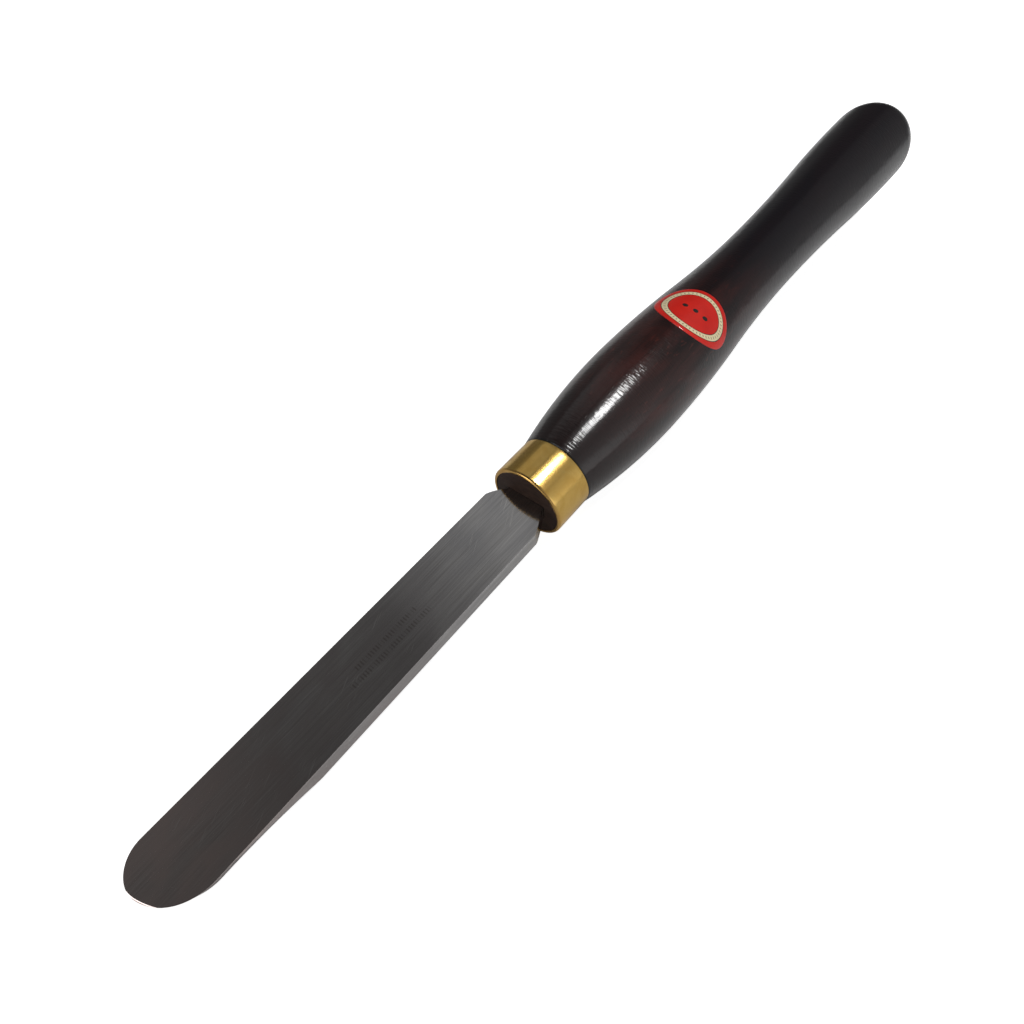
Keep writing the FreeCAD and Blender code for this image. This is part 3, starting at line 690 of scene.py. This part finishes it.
def build_socket_cutter(end_grain):
    """A tapered block the shape of the tang, with room all round and at its floor."""
    vertices = []
    for x in (tang_end - SOCKET_FLOOR_GAP, TANG_ROOT):
        half_y = bar_half_width(x, 1) + SOCKET_GAP
        half_z = half_thickness(x) + SOCKET_GAP
        for side, height in ((1, 1), (-1, 1), (-1, -1), (1, -1)):
            vertices.append((x, side * half_y, height * half_z))
    faces = [[0, 1, 2, 3], [4, 5, 6, 7]]
    faces += [[corner, (corner + 1) % 4, (corner + 1) % 4 + 4, corner + 4] for corner in range(4)]
    return new_piece("socket_cutter", vertices, faces, [end_grain])


def build_handle(wood, end_grain):
    """The turned handle with its bare end grain in front and the socket for the tang."""
    handle = new_piece("turned_handle", *lathe(handle_profile()), [wood, end_grain])
    for face in handle.data.polygons:
        face.material_index = 1 if face.center.x > ferrule_rear - 0.01 * MM else 0
    cutter = build_socket_cutter(end_grain)
    cut = handle.modifiers.new("socket", "BOOLEAN")
    cut.operation = "DIFFERENCE"
    cut.solver = "EXACT"
    cut.material_mode = "TRANSFER"
    cut.object = cutter
    graph = bpy.context.evaluated_depsgraph_get()
    finished = bpy.data.meshes.new_from_object(handle.evaluated_get(graph))
    handle.modifiers.clear()
    handle.data = finished
    bpy.data.objects.remove(cutter)
    shade_smooth(handle)
    return handle


# ---------------------------------------------------------------- label


def wrapped(along, across, lift):
    """A point of the label laid on the grip: across is measured straight, not round the curve."""
    x = label_middle + along
    radius = grip_radius(x) + lift
    point = Vector((x, across, math.sqrt(radius**2 - across**2)))
    return Matrix.Rotation(-LABEL_TURN, 3, "X") @ point


def build_label(label_print):
    """An oval film wrapped round the grip, a closed skin with its plan kept as a UV map."""
    rings, spokes = 24, 128
    vertices, plans, faces = [], [], []
    levels = [(ring / rings, LABEL_FILM) for ring in range(1, rings)]
    levels += [(0.996, LABEL_FILM), (1.0, 0.6 * LABEL_FILM), (1.0, LABEL_LIFT)]
    levels += [(ring / rings, LABEL_LIFT) for ring in range(rings - 1, 0, -1)]
    vertices.append(wrapped(0, 0, LABEL_FILM))
    plans.append((0.0, 0.0))
    for reach, lift in levels:
        for spoke in range(spokes):
            angle = 2 * math.pi * spoke / spokes
            plan = (reach * math.cos(angle), reach * math.sin(angle))
            vertices.append(wrapped(plan[0] * LABEL_HALF_HEIGHT, plan[1] * LABEL_HALF_SPAN, lift))
            plans.append(plan)
    vertices.append(wrapped(0, 0, LABEL_LIFT))
    plans.append((0.0, 0.0))
    last = len(vertices) - 1
    for spoke in range(spokes):
        beside = (spoke + 1) % spokes
        faces.append([0, 1 + spoke, 1 + beside])
        for level in range(len(levels) - 1):
            inner = 1 + level * spokes
            faces.append([inner + spoke, inner + spokes + spoke, inner + spokes + beside, inner + beside])
        inner = 1 + (len(levels) - 1) * spokes
        faces.append([inner + spoke, last, inner + beside])
    label = new_piece("oval_label", vertices, faces, [label_print])
    plan_map = label.data.uv_layers.new(name="plan")
    for loop in label.data.loops:
        plan_map.data[loop.index].uv = plans[loop.vertex_index]
    shade_smooth(label, sharp_angle=50)
    return label


# ---------------------------------------------------------------- stage, light and camera

CAMERA_AIM = Vector((ferrule_front + 6.09 * MM, -1.47 * MM, 0))
CAMERA_DISTANCE = 245.13 * MM
CAMERA_TURN = math.radians(137.69)
CAMERA_HEIGHT = math.radians(53.14)
CAMERA_ROLL = math.radians(-10.05)
CAMERA_LENS = 24.56  # millimetres on a sensor 36 mm wide

FLOOR_REACH = 8.0
FLOOR_GAP = 0.05 * MM
FLOOR_GLOW = 0.9  # shown to the camera only, so that the floor reads as plain white

# Each lamp's name, the direction it stands in, how far off, its size along and across the tool,
# and its radiance. The side panels are nested, so that their light fades out towards the edge.
LAMPS = (
    ("overhead_strip", (-0.37, 0.19, 0.91), 1.15, (0.24, 0.26), 30.0),
    ("side_panel", (-0.42, -0.50, 0.76), 1.10, (0.22, 0.80), 0.085),
    ("side_panel", (-0.42, -0.50, 0.76), 1.15, (0.42, 0.80), 0.085),
    ("side_panel", (-0.42, -0.50, 0.76), 1.20, (0.64, 0.80), 0.085),
    ("front_panel", (0.89, -0.33, 0.31), 1.15, (0.45, 0.60), 2.6),
)
BEHIND_SHARE = 0.5  # of the room's light that is left in the directions behind the tool
BEHIND_RANGE = (-0.95, -0.6)  # of a direction's X, over which the room fades to that share
# How bright the room is from its -Y side (0) over the top to its +Y side (1); white is 1.
ROOM_LEVELS = (
    (0.0, 0.13),
    (0.20, 0.12),
    (0.30, 0.06),
    (0.44, 0.06),
    (0.52, 0.13),
    (0.70, 0.22),
    (0.80, 0.32),
    (0.92, 0.47),
    (0.98, 1.0),
)


def rest_plane():
    """A point and the two directions of the plane the tool lies on: nose and bulge touch it."""
    nose = Vector((blade_high.x - BEVEL_RUN, 0, blade_bottom))
    steepest = 0.0
    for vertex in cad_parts["handle"].data.vertices:
        if vertex.co.x < ferrule_rear:
            steepest = max(steepest, math.atan2(nose.z - vertex.co.z, nose.x - vertex.co.x))
    forwards = Vector((math.cos(steepest), 0, math.sin(steepest)))
    return nose, forwards, Vector((-forwards.z, 0, forwards.x))


def build_floor():
    """A wide pale sheet under the tool, pale enough to read as white."""
    nose, forwards, up = rest_plane()
    middle = nose - up * FLOOR_GAP
    sideways = Vector((0, 1, 0))
    corners = []
    for ahead, aside in ((1, 1), (-1, 1), (-1, -1), (1, -1)):
        corners.append(middle + (forwards * ahead + sideways * aside) * FLOOR_REACH)
    mesh = bpy.data.meshes.new("floor")
    mesh.from_pydata(corners, [], [[0, 1, 2, 3]])
    floor = bpy.data.objects.new("floor", mesh)
    bpy.context.scene.collection.objects.link(floor)
    finish = Finish("pale_floor", Roughness=0.9, Specular_IOR_Level=0.0)
    grain = finish.noise(finish.stretched(60, 60, 60))
    finish.set(Base_Color=finish.mixed(grain, (0.66, 0.66, 0.66), (0.69, 0.69, 0.69)))
    seen = finish.add("LightPath").outputs["Is Camera Ray"]
    glow = finish.math("MULTIPLY", seen, FLOOR_GLOW)
    finish.set(Emission_Color=(1, 1, 1, 1), Emission_Strength=glow)
    mesh.materials.append(finish.material)


def add_softbox(name, towards, distance, size, radiance):
    """A rectangular lamp seen from the tool in a direction; size is (along X, across)."""
    lamp = bpy.data.lights.new(name, "AREA")
    lamp.shape = "RECTANGLE"
    lamp.size, lamp.size_y = size
    lamp.energy = radiance * math.pi * size[0] * size[1]
    box = bpy.data.objects.new(name, lamp)
    bpy.context.scene.collection.objects.link(box)
    back = Vector(towards).normalized()
    across = back.cross(Vector((1, 0, 0))).normalized()
    along = across.cross(back)
    turned = Matrix((along, across, back)).transposed().to_4x4()
    box.matrix_world = Matrix.Translation(back * distance) @ turned


def build_studio():
    """A dim room, lighter towards +Y, with a strip overhead and panels beside and in front."""
    world = bpy.data.worlds.new("studio")
    bpy.context.scene.world = world
    room = NodeTree(world, "Background")
    towards = room.add("TexCoord").outputs["Generated"]
    ahead, aside = room.axes(towards)[:2]
    ramp = room.add("ValToRGB", Fac=room.ranged(aside, -1.0, 1.0))
    ramp.color_ramp.interpolation = "EASE"
    stops = ramp.color_ramp.elements
    while len(stops) < len(ROOM_LEVELS):
        stops.new(0.5)
    for stop, (position, level) in zip(stops, ROOM_LEVELS):
        stop.position = position
        stop.color = (level, level, level, 1)
    dimmed = room.ranged(ahead, *BEHIND_RANGE, BEHIND_SHARE, 1.0)
    level = room.math("MULTIPLY", ramp.outputs["Color"], dimmed)
    seen = room.add("LightPath").outputs["Is Camera Ray"]
    room.set(Color=room.math("MAXIMUM", level, seen))
    for lamp in LAMPS:
        add_softbox(*lamp)


def build_camera():
    """A camera at the viewing angle, aimed beside the ferrule's front."""
    level = Vector((math.sin(CAMERA_TURN), -math.cos(CAMERA_TURN), 0))
    back = level * math.cos(CAMERA_HEIGHT) + Vector((0, 0, math.sin(CAMERA_HEIGHT)))
    data = bpy.data.cameras.new("camera")
    data.sensor_width = 36.0
    data.lens = CAMERA_LENS
    data.clip_start = 0.01
    data.clip_end = 50.0
    camera = bpy.data.objects.new("camera", data)
    bpy.context.scene.collection.objects.link(camera)
    camera.rotation_mode = "QUATERNION"
    camera.location = CAMERA_AIM + back * CAMERA_DISTANCE
    camera.rotation_quaternion = (-back).to_track_quat("-Z", "Y") @ Quaternion((0, 0, 1), CAMERA_ROLL)
    bpy.context.scene.camera = camera


# ---------------------------------------------------------------- the whole picture

bpy.context.scene.view_settings.view_transform = "Standard"
build_camera()
build_studio()
build_floor()

pieces = (
    (build_blade(make_steel()), "blade", "steel"),
    (build_ferrule(make_brass()), "ferrule", "brass"),
    (build_handle(make_lacquered_wood(), make_end_grain()), "handle", "lacquered_wood"),
    (build_label(make_label_print()), "label", "label_paper"),
)
for piece, node, slot in pieces:
    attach(piece, BODY)
    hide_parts(node)
